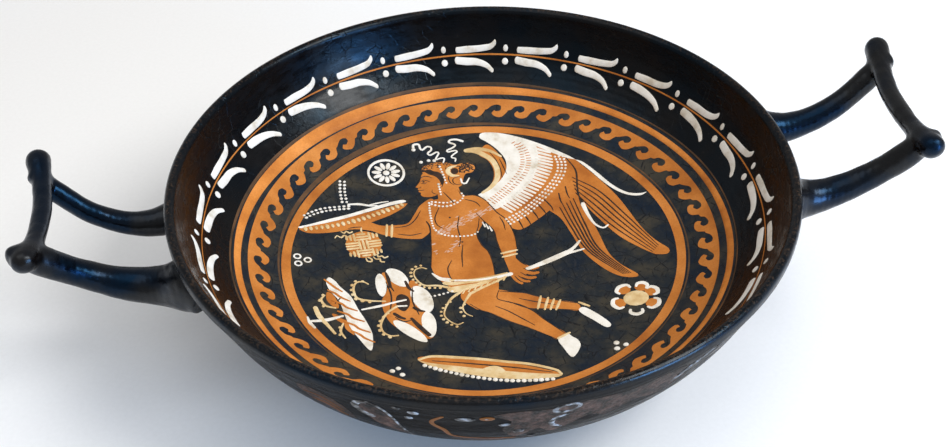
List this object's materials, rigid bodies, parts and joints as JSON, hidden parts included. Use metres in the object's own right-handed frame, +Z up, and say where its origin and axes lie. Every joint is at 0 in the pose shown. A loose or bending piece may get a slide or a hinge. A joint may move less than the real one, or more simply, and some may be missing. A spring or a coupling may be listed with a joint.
{
  "type": "kylix drinking cup",
  "caption": "Wide shallow drinking cup of fired clay with a painted bowl, a low moulded foot and upswept loop handles ending in knobs.",
  "frame": {"origin": "middle of the resting ring under the foot, on the axis of the bowl", "axes": "+Z up through the bowl, +X along the line of the two handles, towards the higher handle, and +Y to the far side of the picture's upper edge"},
  "size_m": [0.391, 0.272, 0.1037],
  "materials": {
    "black_gloss": "glossy black slip with a faint blue sheen, fired on, worn and crazed in places",
    "red_clay": "burnished orange clay left bare of slip, satin",
    "white_slip": "thick matt white painted over the black, slightly raised",
    "dilute_wash": "thin golden wash over white, satin"
  },
  "bodies": {
    "root": {"cup": "black_gloss"}
  },
  "joints": []
}
